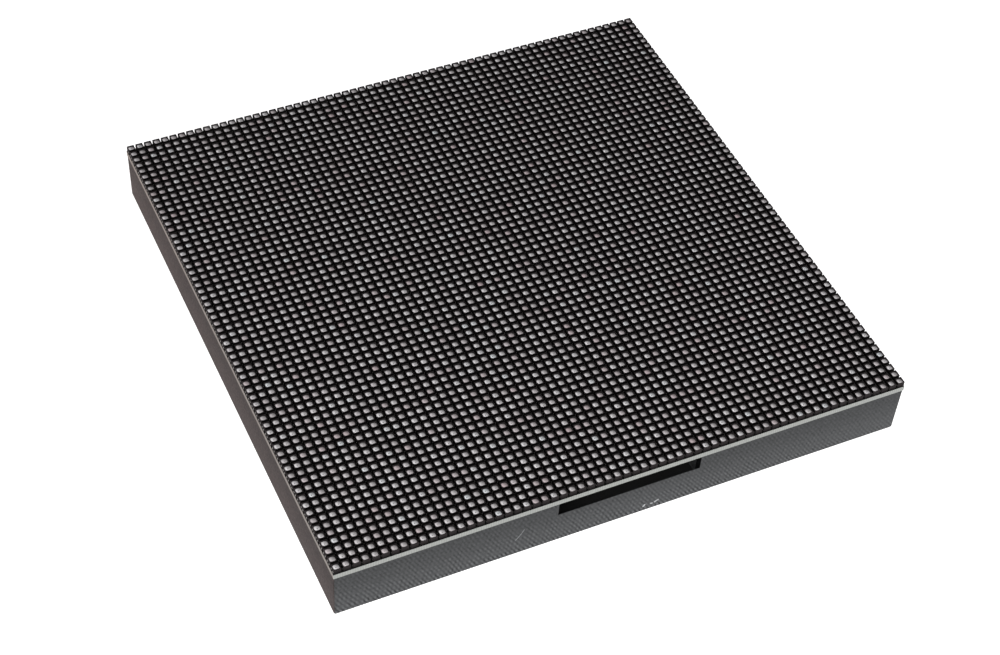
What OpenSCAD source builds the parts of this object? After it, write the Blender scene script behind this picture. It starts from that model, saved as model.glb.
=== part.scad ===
// LED display module: a square matrix of surface-mounted lamps on a circuit board,
// held by a ribbed plastic frame. It lies on the frame's back with the lamps up.
// Millimetres. The origin is the middle of the frame's back, +Z points out of the display,
// and the notched wall nearest the viewer faces -Y.

/* [Lamp matrix] */
// Distance from one lamp to the next, both ways
lamp_pitch = 2.5; // [2.4:0.1:3]
// Lamps in a row
lamp_columns = 64; // [62:2:72]
// Rows of lamps
lamp_row_count = 64; // [62:2:72]
// Side of one square lamp
lamp_w = 2; // [1.4:0.1:2.2]
// Height of a lamp above the board
lamp_h = 1.6; // [0.5:0.1:2.5]

/* [Circuit board] */
// Room left at each edge of the board, so that modules tile at an even pitch
board_edge_gap = 0.1; // [0:0.05:0.3]
// Thickness of the board
board_t = 1.6; // [0.8:0.1:3.2]

/* [Frame] */
// Height of the frame, from its back to the underside of the board
frame_h = 15; // [13:0.1:24]
// How far the top of the frame stands back from the edge of the board
frame_inset = 0.05; // [0:0.05:1]
// How much further the walls lean in towards the back, so that the moulding leaves its tool
frame_draft = 0.15; // [0:0.05:0.8]
// Thickness of the outer walls at the top
wall_t = 2; // [1.4:0.1:3]
// Radius of the four upright corners
corner_r = 0.5; // [0.3:0.1:3]
// Rounding of the outer edge at the back
back_edge_r = 0.5; // [0.3:0.1:1.4]
// Thickness of the ribs
rib_t = 2; // [1.2:0.1:3.5]
// How far the ribs stand back from the frame's back face
rib_recess = 0.5; // [0.2:0.1:2]
// How far the ribs end below the tops of the screw bosses
rib_step = 0.9; // [0.2:0.1:3]
// Distance of the two upright ribs from the middle
rib_x = 24; // [22:1:26]
// Distance of the two level ribs from the middle
rib_y = 44; // [42:1:48]
// Width of the notch in the front and rear walls
notch_w = 40; // [10:1:60]
// Depth of the notch below the board
notch_h = 4.3; // [1:0.1:6]
// How much lower the notch's floor lies at the inside of the wall than at the outside
notch_fall = 2.6; // [0:0.1:4]

/* [Mounting points] */
// Distance between the mounting inserts, side to side
mount_span_x = 132; // [120:1:136]
// Outer diameter of a threaded insert
insert_d = 4.6; // [4:0.1:6]
// Length of a threaded insert
insert_len = 6; // [3:0.5:8]
// Tapping diameter of the insert's thread
insert_bore_d = 2.5; // [2:0.1:3.3]
// Plastic around an insert
mount_boss_wall = 1.9; // [1:0.1:3]

/* [Board screws] */
// Diameter of the screw's shank
screw_d = 3; // [2:0.1:3.5]
// Length of the shank under the head
screw_len = 5; // [3.5:0.1:5.4]
// Diameter of the screw's head
screw_head_d = 5.5; // [4.5:0.1:6.5]
// Height of the screw's head
screw_head_h = 2; // [1.2:0.1:3]
// Outer diameter of a nut soldered to the board
nut_d = 5.6; // [4.8:0.1:7]
// Height of a soldered nut
nut_h = 3; // [2.6:0.1:4.5]
// Plastic between the screw's head and the nut
screw_seat_t = 2.5; // [1.5:0.1:3]
// Plastic around the screw's head
boss_wall = 1.4; // [0.8:0.1:2.5]
// Plastic outside a corner boss, up to the wall's outer face
boss_skin = 0.8; // [0.4:0.1:3]

/* [Data connectors] */
// Distance of each data connector's middle from the edge of the board
header_from_edge = 15.9; // [13:0.1:18]
// Contacts in each of the two rows
header_contacts = 8; // [5:1:10]
// Distance between contacts
header_pitch = 2.54; // [2:0.02:2.8]
// Height of the shroud
header_h = 9; // [7:0.1:11]
// Width of the shroud
header_w = 8.9; // [8:0.1:10]
// Thickness of the shroud's walls
header_wall = 1.2; // [0.8:0.1:1.6]
// Room between the last contact and the shroud's end wall
header_end_room = 3.55; // [2.6:0.05:5]
// Thickness of the shroud's floor
header_floor_t = 2.4; // [1.5:0.1:3.5]
// Width of the keying slot
header_key_w = 4.5; // [3:0.1:6]
// Side of a square contact
header_pin_w = 0.64; // [0.5:0.02:0.8]
// How far the contacts end below the shroud's rim
header_pin_below_rim = 0.7; // [0.2:0.1:2]
// How far the soldered feet reach out past the shroud
header_foot_out = 1.4; // [0.6:0.1:2.5]

/* [Power connector] */
// Contacts in the power connector
power_contacts = 4; // [2:1:4]
// Distance between the power contacts
power_pitch = 3.96; // [3.5:0.01:4.2]
// Room past the middle of the last contact at each end
power_end_room = 1.96; // [1.4:0.02:3]
// Width of the connector
power_w = 8.5; // [7:0.1:10]
// Thickness of its floor
power_floor_t = 3; // [2:0.1:4]
// Height of the locking wall above the board
power_h = 9.4; // [8:0.1:12]
// Thickness of the locking wall
power_wall = 1.3; // [0.8:0.1:2]
// Side of a square power contact
power_pin_w = 1.14; // [0.9:0.02:1.4]
// How far the power contacts end below the locking wall's rim
power_pin_below_rim = 0.6; // [0.2:0.1:2]
// How far the soldered feet reach out past the connector
power_foot_out = 1.6; // [0.6:0.1:3]

/* [Chips] */
// Length of a lamp driver chip
driver_l = 8.65; // [7.5:0.05:10]
// Width of a lamp driver chip
driver_w = 3.9; // [3:0.1:5]
// Height of the chips' bodies
chip_h = 1.5; // [0.8:0.1:1.9]
// How much the chips' sides slope from their waist
chip_slope = 0.12; // [0.05:0.01:0.3]
// Radius of the dimple that marks a chip's first contact
chip_dimple_r = 0.45; // [0.2:0.05:0.8]
// Depth of that dimple
chip_dimple_deep = 0.12; // [0.05:0.01:0.3]
// Room between a chip's body and the board
chip_standoff = 0.1; // [0:0.05:0.2]
// Distance between driver chips, side to side
driver_step_x = 24; // [22:1:25]
// Distance of the inner row of driver chips from the middle
driver_inner_y = 30; // [26:1:34]
// Distance of the outer row of driver chips from the middle
driver_outer_y = 58; // [54:1:62]
// Length of a row scan chip
scan_l = 9.9; // [9.5:0.1:11]
// Width of a row scan chip
scan_w = 3.9; // [3:0.1:5]
// Distance of the row scan chips from the middle, side to side
scan_x = 40; // [36:1:42]
// Distance of the row scan chips from the middle, up and down
scan_y = 9; // [7:0.5:12]
// Length of a buffer chip
buffer_l = 6.5; // [6.2:0.1:8]
// Width of a buffer chip
buffer_w = 4.4; // [3.5:0.1:5]
// Distance of the buffer chips from the data input connector's middle
buffer_from_header = 12; // [11.5:0.1:14]
// Distance of the buffer chips from the middle, up and down
buffer_y = 8; // [6:0.5:12]

/* [Chip leads] */
// Thickness of the leads
lead_t = 0.2; // [0.12:0.01:0.3]
// How far the leads reach out from a chip's side
lead_out = 1.05; // [0.9:0.05:1.4]
// Level stretch of a lead beside the chip
lead_shoulder = 0.25; // [0.15:0.05:0.35]
// Length of a lead's soldered foot
lead_foot = 0.5; // [0.3:0.05:0.5]
// Leads along each side of a driver chip
driver_leads_a_side = 12; // [8:1:12]
// Distance between a driver chip's leads
driver_lead_pitch = 0.635; // [0.5:0.005:0.66]
// Width of a driver chip's leads
driver_lead_w = 0.25; // [0.15:0.01:0.35]
// Leads along each side of a row scan chip
scan_leads_a_side = 8; // [4:1:8]
// Distance between a row scan chip's leads
scan_lead_pitch = 1.27; // [1:0.01:1.27]
// Width of a row scan chip's leads
scan_lead_w = 0.42; // [0.3:0.01:0.5]
// Leads along each side of a buffer chip
buffer_leads_a_side = 10; // [7:1:10]
// Distance between a buffer chip's leads
buffer_lead_pitch = 0.65; // [0.5:0.01:0.66]
// Width of a buffer chip's leads
buffer_lead_w = 0.22; // [0.15:0.01:0.3]

/* [Capacitors and resistors] */
// Diameter of a bulk capacitor's can
can_d = 6.3; // [5:0.1:8]
// Height of the can above its base
can_h = 4.6; // [3.5:0.1:6]
// Depth of the rolled groove round the can
can_groove = 0.35; // [0.1:0.05:0.6]
// Side of the plastic base under the can
can_base_w = 6.6; // [6.4:0.1:8.4]
// Height of the base
can_base_h = 1.2; // [0.6:0.1:2]
// Corner cut off the base at its positive side
can_base_chamfer = 1.3; // [0.5:0.1:2]
// Distance of the bulk capacitors from the middle, side to side
can_x = 15; // [14:0.5:17]
// Distance of the bulk capacitors from the middle, up and down
can_y = 13; // [11:0.5:18]
// Length of a small chip capacitor or resistor
small_l = 1.6; // [1:0.1:2]
// Width of a small chip capacitor or resistor
small_w = 0.8; // [0.5:0.1:1.2]
// Height of a bypass capacitor
bypass_h = 0.8; // [0.4:0.1:1.2]
// Height of a current-setting resistor
resistor_h = 0.45; // [0.3:0.05:0.8]
// Room between a driver chip and the small parts at its ends
small_gap = 1.4; // [0.8:0.1:2.5]
// Length of a resistor array
array_l = 3.2; // [2:0.1:4]
// Width of a resistor array
array_w = 1.6; // [1:0.1:2.4]
// Height of a resistor array
array_h = 0.6; // [0.4:0.1:1]
// Distance between resistor arrays
array_step = 6; // [5:0.5:7]

/* [Clearances] */
// Radial room round an insert in its boss
insert_clear = 0.05; // [0:0.01:0.15]
// Radial room round a screw's shank in the frame
screw_hole_clear = 0.2; // [0.05:0.05:0.4]
// Radial room round a screw's head in its counterbore
screw_head_clear = 0.3; // [0.1:0.05:0.6]
// Radial room between the screw's shank and the nut's thread
thread_clear = 0.05; // [0.02:0.01:0.1]

/* [Hidden] */
$fn = 48;

// Overlap that makes a cut pass through a face cleanly
cut = 1;
// Segments of the arcs inside a hull
hull_fn = 32;
// Thickness of a slice that a hull is stretched over
slice = 0.01;
// Angles at which the rounded back edge is sliced
edge_angles = [0, 30, 60, 90];
// Inside radius at the frame's corners
inner_corner_r = 0.5;
// Cross recess in a screw's head: length, width and depth
recess_l = 2.9;
recess_w = 0.7;
recess_deep = 1;
// Rounding of a screw's head
head_round = 0.9;

board_x = lamp_pitch * lamp_columns - 2 * board_edge_gap;
board_y = lamp_pitch * lamp_row_count - 2 * board_edge_gap;
board_top = frame_h + board_t;

frame_top_x = board_x - 2 * frame_inset;
frame_top_y = board_y - 2 * frame_inset;
frame_back_x = frame_top_x - 2 * frame_draft;
frame_back_y = frame_top_y - 2 * frame_draft;
cavity_x = frame_top_x - 2 * wall_t;
cavity_y = frame_top_y - 2 * wall_t;

boss_top = frame_h - nut_h;
screw_seat = boss_top - screw_seat_t;
rib_top = boss_top - rib_step;
counterbore_d = screw_head_d + 2 * screw_head_clear;
boss_d = counterbore_d + 2 * boss_wall;
mount_boss_d = insert_d + 2 * mount_boss_wall;

corner_screw_x = frame_back_x / 2 - boss_skin - boss_d / 2;
corner_screw_y = frame_back_y / 2 - boss_skin - boss_d / 2;

signs = [-1, 1];
corner_signs = [for (sx = signs, sy = signs) [sx, sy]];
screw_places = concat(
    [for (s = corner_signs) [s.x * corner_screw_x, s.y * corner_screw_y]],
    [for (s = corner_signs) [s.x * rib_x, s.y * rib_y]]
);
mount_places = [for (s = corner_signs) [s.x * mount_span_x / 2, s.y * rib_y]];

driver_columns = 6;
driver_rows_y = [driver_outer_y, driver_inner_y, -driver_inner_y, -driver_outer_y];
driver_places = [
    for (y = driver_rows_y, c = [0 : driver_columns - 1])
        [(c - (driver_columns - 1) / 2) * driver_step_x, y]
];
scan_places = [for (s = corner_signs) [s.x * scan_x, s.y * scan_y]];
header_x = board_x / 2 - header_from_edge;
buffer_places = [for (s = signs) [buffer_from_header - header_x, s * buffer_y]];
can_places = [for (s = corner_signs) [s.x * can_x, s.y * can_y]];

header_l = header_pitch * (header_contacts - 1) + header_pin_w + 2 * (header_end_room + header_wall);
header_foot_t = header_pin_w;
power_l = power_pitch * (power_contacts - 1) + 2 * power_end_room;
power_foot_t = power_pin_w / 2;

function lamp_place(column, row) = [
    (column - (lamp_columns - 1) / 2) * lamp_pitch,
    (row - (lamp_row_count - 1) / 2) * lamp_pitch
];
function numbered(name, i) = str(name, i < 9 ? "_0" : "_", i + 1);
function names(name, places) = [for (i = [0 : len(places) - 1]) numbered(name, i)];

// Shared shapes

module rounded_rectangle(x, y, r) {
    square([x - 2 * r, y], center = true);
    square([x, y - 2 * r], center = true);
    for (s = corner_signs)
        translate([s.x * (x / 2 - r), s.y * (y / 2 - r)]) circle(r);
}

// Turns a piece that is drawn standing up on a table so that it hangs from the board's underside
module under_board(place) {
    translate([place.x, place.y, frame_h]) mirror([0, 0, 1]) children();
}

module block(size) {
    translate([-size.x / 2, -size.y / 2, 0]) cube(size);
}

// Frame

module frame_outside() {
    hull() {
        translate([0, 0, frame_h - slice])
            linear_extrude(slice) rounded_rectangle(frame_top_x, frame_top_y, corner_r, $fn = hull_fn);
        for (a = edge_angles) {
            inset = back_edge_r * (1 - sin(a));
            translate([0, 0, back_edge_r * (1 - cos(a))])
                linear_extrude(slice)
                    rounded_rectangle(frame_back_x - 2 * inset, frame_back_y - 2 * inset, corner_r, $fn = hull_fn);
        }
    }
}

module frame_walls() {
    difference() {
        frame_outside();
        translate([0, 0, -cut])
            linear_extrude(frame_h + 2 * cut) rounded_rectangle(cavity_x, cavity_y, inner_corner_r);
    }
}

module frame_ribs() {
    rib_z = rib_top - rib_recess;
    for (s = signs) {
        translate([s * rib_x, 0, rib_recess]) block([rib_t, cavity_y + wall_t, rib_z]);
        translate([0, s * rib_y, rib_recess]) block([cavity_x + wall_t, rib_t, rib_z]);
    }
}

// The floor of each notch slopes down to the inside, at a steady fall past both faces of the wall
module wall_notches() {
    floor_z = frame_h - notch_h;
    past = wall_t / 2;
    for (turn = [0, 180])
        rotate([0, 0, turn])
            translate([-notch_w / 2, -cavity_y / 2, 0])
                rotate([90, 0, 90])
                    linear_extrude(notch_w)
                        polygon([
                            [-wall_t - past, floor_z + notch_fall * past / wall_t],
                            [past, floor_z - notch_fall * (1 + past / wall_t)],
                            [past, frame_h + cut],
                            [-wall_t - past, frame_h + cut]
                        ]);
}

module frame() {
    color([0.28, 0.28, 0.29])
        difference() {
            union() {
                difference() {
                    frame_walls();
                    wall_notches();
                }
                frame_ribs();
                for (p = screw_places)
                    translate([p.x, p.y, rib_recess]) cylinder(d = boss_d, h = boss_top - rib_recess);
                for (p = mount_places)
                    translate([p.x, p.y, 0]) cylinder(d = mount_boss_d, h = rib_top);
            }
            for (p = screw_places) {
                translate([p.x, p.y, -cut]) cylinder(d = counterbore_d, h = screw_seat + cut);
                translate([p.x, p.y, 0]) cylinder(r = screw_d / 2 + screw_hole_clear, h = frame_h);
            }
            for (p = mount_places)
                translate([p.x, p.y, -cut]) cylinder(r = insert_d / 2 + insert_clear, h = insert_len + cut);
        }
}

// Board and lamps

module circuit_board() {
    color([0.66, 0.68, 0.63])
        translate([0, 0, frame_h]) block([board_x, board_y, board_t]);
}

module edge_lamps() {
    color([0.08, 0.08, 0.08])
        for (c = [0 : lamp_columns - 1], r = [0 : lamp_row_count - 1])
            if (c == 0 || r == 0 || c == lamp_columns - 1 || r == lamp_row_count - 1)
                translate([each lamp_place(c, r), board_top]) block([lamp_w, lamp_w, lamp_h]);
}

// The lamps inside the outer ring, each row joined into one bar
module lamp_rows() {
    row_l = (lamp_columns - 3) * lamp_pitch + lamp_w;
    color([0.1, 0.1, 0.1])
        for (r = [1 : lamp_row_count - 2])
            translate([0, lamp_place(0, r).y, board_top]) block([row_l, lamp_w, lamp_h]);
}

// Fastenings

module mount_inserts() {
    color([0.8, 0.63, 0.28])
        for (p = mount_places)
            translate([p.x, p.y, 0])
                difference() {
                    cylinder(d = insert_d, h = insert_len);
                    translate([0, 0, -cut]) cylinder(d = insert_bore_d, h = insert_len + 2 * cut);
                }
}

module board_nuts() {
    color([0.75, 0.75, 0.72])
        for (p = screw_places)
            translate([p.x, p.y, boss_top])
                difference() {
                    cylinder(d = nut_d, h = nut_h);
                    translate([0, 0, -cut]) cylinder(r = screw_d / 2 + thread_clear, h = nut_h + 2 * cut);
                }
}

module screw() {
    difference() {
        rotate_extrude() {
            square([screw_d / 2, screw_len]);
            translate([0, -screw_head_h]) square([screw_head_d / 2 - head_round, screw_head_h]);
            translate([0, head_round - screw_head_h]) square([screw_head_d / 2, screw_head_h - head_round]);
            intersection() {
                translate([screw_head_d / 2 - head_round, head_round - screw_head_h]) circle(head_round);
                translate([0, -screw_head_h]) square([screw_head_d / 2, screw_head_h]);
            }
        }
        for (a = [0, 90])
            rotate(a) translate([0, 0, -screw_head_h - cut]) block([recess_l, recess_w, recess_deep + cut]);
    }
}

module board_screws() {
    color([0.55, 0.55, 0.56])
        for (p = screw_places) translate([p.x, p.y, screw_seat]) screw();
}

// Data connectors: two rows of contacts in a keyed shroud, long side along Y

header_rows = [for (s = signs, i = [0 : header_contacts - 1])
    [s, (i - (header_contacts - 1) / 2) * header_pitch]];

module header_shroud(side) {
    color([0.09, 0.09, 0.1])
        under_board([side * header_x, 0])
            translate([0, 0, header_foot_t])
                difference() {
                    block([header_w, header_l, header_h]);
                    translate([0, 0, header_floor_t])
                        block([header_w - 2 * header_wall, header_l - 2 * header_wall, header_h]);
                    translate([side * header_w / 2, 0, header_floor_t])
                        block([2 * header_wall + 2 * slice, header_key_w, header_h]);
                    for (p = header_rows)
                        translate([p[0] * header_pitch / 2, p[1], -cut])
                            block([header_pin_w, header_pin_w, header_floor_t + 2 * cut]);
                }
}

module header_pin(s) {
    post_x = header_pitch / 2;
    foot_end = header_w / 2 + header_foot_out;
    tip = header_foot_t + header_h - header_pin_below_rim;
    mirror([s < 0 ? 1 : 0, 0, 0])
        rotate([90, 0, 0])
            linear_extrude(header_pin_w, center = true)
                polygon([
                    [post_x - header_pin_w / 2, 0],
                    [foot_end, 0],
                    [foot_end, header_foot_t],
                    [post_x + header_pin_w / 2, header_foot_t],
                    [post_x + header_pin_w / 2, tip],
                    [post_x - header_pin_w / 2, tip]
                ]);
}

module header_pins(side) {
    color([0.83, 0.68, 0.35])
        under_board([side * header_x, 0])
            for (p = header_rows) translate([0, p[1], 0]) header_pin(p[0]);
}

// Power connector: a floor, a locking wall with slots, and four heavy contacts along X

power_xs = [for (i = [0 : power_contacts - 1]) (i - (power_contacts - 1) / 2) * power_pitch];

module power_socket() {
    color([0.9, 0.89, 0.85])
        under_board([0, 0])
            translate([0, 0, power_foot_t])
                difference() {
                    union() {
                        block([power_l, power_w, power_floor_t]);
                        translate([0, (power_w - power_wall) / 2, 0])
                            block([power_l, power_wall, power_h - power_foot_t]);
                    }
                    for (x = power_xs) {
                        translate([x, 0, -cut])
                            block([power_pin_w, power_pin_w, power_floor_t + 2 * cut]);
                        translate([x, (power_w - power_wall) / 2, power_floor_t])
                            block([power_pin_w, power_wall + 2 * slice, (power_h - power_floor_t) / 2]);
                    }
                }
}

module power_pin() {
    foot_end = power_w / 2 + power_foot_out;
    tip = power_h - power_pin_below_rim;
    rotate([90, 0, -90])
        linear_extrude(power_pin_w, center = true)
            polygon([
                [-power_pin_w / 2, 0],
                [foot_end, 0],
                [foot_end, power_foot_t],
                [power_pin_w / 2, power_foot_t],
                [power_pin_w / 2, tip],
                [-power_pin_w / 2, tip]
            ]);
}

module power_pins() {
    color([0.78, 0.77, 0.73])
        under_board([0, 0])
            for (x = power_xs) translate([x, 0, 0]) power_pin();
}

// Chips: moulded bodies with a flat waist where the leads come out, long side along X

lead_top = chip_standoff + (chip_h + lead_t) / 2;
lead_under = lead_top - lead_t;

module chip(length, width) {
    half = width / 2;
    top = chip_standoff + chip_h;
    dimple = [-length / 2 + 2 * chip_dimple_r, -half + chip_slope + 2 * chip_dimple_r, top - chip_dimple_deep];
    difference() {
        rotate([90, 0, 90])
            linear_extrude(length, center = true)
                polygon([
                    [-half + chip_slope, chip_standoff],
                    [half - chip_slope, chip_standoff],
                    [half, lead_under],
                    [half, lead_top],
                    [half - chip_slope, top],
                    [-half + chip_slope, top],
                    [-half, lead_top],
                    [-half, lead_under]
                ]);
        translate(dimple) cylinder(r = chip_dimple_r, h = chip_dimple_deep + cut);
    }
}

// One gull-wing lead, from the chip's side at y = 0 down to its foot on the board
module lead(width) {
    foot_start = lead_out - lead_foot;
    rotate([90, 0, 90])
        linear_extrude(width, center = true)
            polygon([
                [0, lead_under],
                [lead_shoulder - lead_t / 2, lead_under],
                [foot_start - lead_t / 2, 0],
                [lead_out, 0],
                [lead_out, lead_t],
                [foot_start, lead_t],
                [lead_shoulder, lead_top],
                [0, lead_top]
            ]);
}

module lead_rows(chip_width, count, pitch, width) {
    for (turn = [0, 180], i = [0 : count - 1])
        rotate(turn)
            translate([(i - (count - 1) / 2) * pitch, chip_width / 2, 0]) lead(width);
}

module driver_chip(place) {
    color([0.12, 0.12, 0.13]) under_board(place) chip(driver_l, driver_w);
}

module scan_chip(place) {
    color([0.12, 0.12, 0.13]) under_board(place) rotate(90) chip(scan_l, scan_w);
}

module buffer_chip(place) {
    color([0.12, 0.12, 0.13]) under_board(place) rotate(90) chip(buffer_l, buffer_w);
}

lead_colour = [0.75, 0.75, 0.73];

module driver_leads() {
    color(lead_colour)
        for (p = driver_places)
            under_board(p) lead_rows(driver_w, driver_leads_a_side, driver_lead_pitch, driver_lead_w);
}

module scan_leads() {
    color(lead_colour)
        for (p = scan_places)
            under_board(p) rotate(90) lead_rows(scan_w, scan_leads_a_side, scan_lead_pitch, scan_lead_w);
}

module buffer_leads() {
    color(lead_colour)
        for (p = buffer_places)
            under_board(p) rotate(90) lead_rows(buffer_w, buffer_leads_a_side, buffer_lead_pitch, buffer_lead_w);
}

// Capacitors and resistors

module capacitor_base(place) {
    half = can_base_w / 2;
    color([0.1, 0.1, 0.1])
        under_board(place)
            linear_extrude(can_base_h)
                polygon([
                    [-half, -half],
                    [half - can_base_chamfer, -half],
                    [half, -half + can_base_chamfer],
                    [half, half - can_base_chamfer],
                    [half - can_base_chamfer, half],
                    [-half, half]
                ]);
}

module capacitor_can(place) {
    groove_z = 1;
    edge = 0.4;
    color([0.8, 0.81, 0.82])
        under_board(place)
            translate([0, 0, can_base_h])
                rotate_extrude()
                    difference() {
                        polygon([
                            [0, 0],
                            [can_d / 2, 0],
                            [can_d / 2, can_h - edge],
                            [can_d / 2 - edge, can_h],
                            [0, can_h]
                        ]);
                        translate([can_d / 2, groove_z]) circle(can_groove);
                    }
}

small_offset = driver_l / 2 + small_gap + small_w / 2;

module bypass_capacitors() {
    color([0.66, 0.56, 0.42])
        for (p = driver_places)
            under_board([p.x + small_offset, p.y]) block([small_w, small_l, bypass_h]);
}

module set_resistors() {
    color([0.1, 0.1, 0.12])
        for (p = driver_places)
            under_board([p.x - small_offset, p.y]) block([small_w, small_l, resistor_h]);
}

array_count = 4;
array_x = header_x - header_w / 2 - header_foot_out - array_w;

module resistor_arrays() {
    color([0.1, 0.1, 0.12])
        for (s = signs, i = [0 : array_count - 1])
            under_board([s * array_x, (i - (array_count - 1) / 2) * array_step])
                block([array_w, array_l, array_h]);
}

frame();
circuit_board();
edge_lamps();
lamp_rows();
mount_inserts();
board_nuts();
board_screws();
header_shroud(-1);  // data_in_shroud
header_pins(-1);  // data_in_pins
header_shroud(1);  // data_out_shroud
header_pins(1);  // data_out_pins
power_socket();
power_pins();
for (i = [0 : len(driver_places) - 1])
    driver_chip(driver_places[i]);
for (i = [0 : len(scan_places) - 1])
    scan_chip(scan_places[i]);
for (i = [0 : len(buffer_places) - 1])
    buffer_chip(buffer_places[i]);
driver_leads();
scan_leads();
buffer_leads();
for (i = [0 : len(can_places) - 1]) {
    capacitor_base(can_places[i]);
    capacitor_can(can_places[i]);
}
bypass_capacitors();
set_resistors();
resistor_arrays();
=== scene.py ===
"""LED display module: its finished look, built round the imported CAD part.

Laid out as an add-on and run as a script. Lengths are metres, in the CAD part's own frame:
the frame's back stands on z = 0, the lamps look up and the notched wall nearest the viewer faces -Y.
"""

import math
from contextlib import contextmanager

import bmesh
import bpy
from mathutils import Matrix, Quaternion, Vector


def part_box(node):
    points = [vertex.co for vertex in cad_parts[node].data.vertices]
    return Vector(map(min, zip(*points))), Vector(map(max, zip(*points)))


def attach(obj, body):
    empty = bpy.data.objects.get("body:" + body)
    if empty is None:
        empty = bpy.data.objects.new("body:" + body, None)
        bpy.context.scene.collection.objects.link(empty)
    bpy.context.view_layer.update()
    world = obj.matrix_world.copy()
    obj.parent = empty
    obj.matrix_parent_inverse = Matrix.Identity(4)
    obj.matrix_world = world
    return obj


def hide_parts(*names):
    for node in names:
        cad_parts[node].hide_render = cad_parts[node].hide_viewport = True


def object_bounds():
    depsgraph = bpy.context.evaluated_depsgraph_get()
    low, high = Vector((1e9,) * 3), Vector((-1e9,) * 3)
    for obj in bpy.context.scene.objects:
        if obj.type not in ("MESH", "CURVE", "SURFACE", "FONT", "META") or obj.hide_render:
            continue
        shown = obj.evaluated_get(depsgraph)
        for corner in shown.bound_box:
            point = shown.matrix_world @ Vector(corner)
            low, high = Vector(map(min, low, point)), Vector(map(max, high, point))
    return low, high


bl_info = {
    "name": "LED display module",
    "version": (1, 0, 0),
    "blender": (4, 5, 0),
    "location": "3D View > Sidebar > Display",
    "description": "Builds the lamps, finishes and stage of a square LED display module",
    "category": "Add Mesh",
}

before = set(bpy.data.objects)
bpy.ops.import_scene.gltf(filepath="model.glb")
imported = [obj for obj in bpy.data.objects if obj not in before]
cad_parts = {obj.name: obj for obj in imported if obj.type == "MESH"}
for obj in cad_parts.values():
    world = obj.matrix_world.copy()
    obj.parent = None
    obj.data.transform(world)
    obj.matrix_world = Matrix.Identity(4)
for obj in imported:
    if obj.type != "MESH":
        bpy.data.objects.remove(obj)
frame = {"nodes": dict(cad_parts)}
NODES = frame["nodes"]
CAD_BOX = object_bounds()
BOARD_LOW, BOARD_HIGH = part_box("circuit_board")
FRAME_LOW, FRAME_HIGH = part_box("frame")
MM = 0.001

# Shares of a window's half width at which its hollow is stepped
HOLLOW_RINGS = (1.0, 0.68, 0.32)

# Places and pitches that the finishes follow, in millimetres from the middle of the module's back
BOARD_TOP = BOARD_HIGH.z / MM
BOARD_BACK = BOARD_LOW.z / MM
NOTCH_END = 20
DRIVER_STEP = 24
DRIVER_ROWS = (44, 14)
DRIVER_PITCH = 0.635
DRIVER_RUN = 3.81
SCAN_AT = (40, 9)
BUFFER_AT = (-52, 8)
ARRAY_AT = (56.55, 6)
ARRAY_APART = 3
ARRAY_PITCH = 0.8
HEADER_AT = 64
POWER_AT = -1
POWER_PITCH = 3.96
CAN_AT = (15, 13)
SCREWS_AT = ((24, 44), (74.45, 74.45))
HOLE_PITCH = 2.5

# Marks on the front wall: where each starts and ends, as x and z in millimetres, and its width
FAINT_SCRATCHES = (
    ((-31.4, 5.9), (-30.0, 7.7), 0.16),
    ((-30.0, 7.7), (-29.2, 9.2), 0.14),
)
NICKS = (
    ((4.8, 2.0), (5.1, 2.5), 0.4),
    ((6.9, 2.25), (7.3, 2.15), 0.3),
    ((8.1, 2.4), (8.9, 2.85), 0.4),
)


# Settings that a user would change


def length(name, description, default):
    return bpy.props.FloatProperty(
        name=name, description=description, default=default,
        min=0, precision=5, unit="LENGTH", subtype="DISTANCE",
    )


def colour(name, description, default):
    return bpy.props.FloatVectorProperty(
        name=name, description=description, default=default, min=0, max=1, size=3, subtype="COLOR",
    )


def place(name, description, default):
    return bpy.props.FloatVectorProperty(
        name=name, description=description, default=default, size=3, unit="LENGTH", subtype="TRANSLATION",
    )


def watts(name, description, default):
    return bpy.props.FloatProperty(name=name, description=description, default=default, min=0, unit="POWER")


class LampSizes(bpy.types.PropertyGroup):
    """Sizes of the surface-mounted lamps and how they are spread"""

    pitch: length("Pitch", "Distance from one lamp to the next, both ways", 2.5 * MM)
    quarter: bpy.props.IntProperty(
        name="Lamps in a quarter", description="Lamps along each side of a quarter of the matrix",
        default=32, min=1,
    )
    side: length("Side", "Side of a lamp's body", 2 * MM)
    height: length("Height", "Height of a lamp's body above the board", CAD_BOX[1].z - BOARD_HIGH.z)
    rim: length("Rim", "Width of the black rim round the window", 0.21 * MM)
    recess: length("Recess", "Depth of the cup that holds the window", 0.55 * MM)
    cup_corner: length("Cup corner", "Rounding of the cup's corners", 0.42 * MM)
    body_corner: length("Body corner", "Chamfer of the body's upright corners", 0.08 * MM)
    window_play: length("Window play", "Room between the window and its cup", 0.01 * MM)
    hollow: length("Hollow", "How far the window's middle lies below its edge", 0.05 * MM)
    window_below: length("Window depth", "How far the window's edge lies below the rim", 0.34 * MM)
    lead_wide: length("Lead width", "Width of a lamp's soldered lead", 0.4 * MM)
    lead_out: length("Lead reach", "How far a lead stands out from the body", 0.08 * MM)
    lead_high: length("Lead height", "How far up the body's side a lead is folded", 0.78 * MM)
    lead_apart: length("Lead spacing", "Distance between the two leads of a side", 1.1 * MM)


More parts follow.
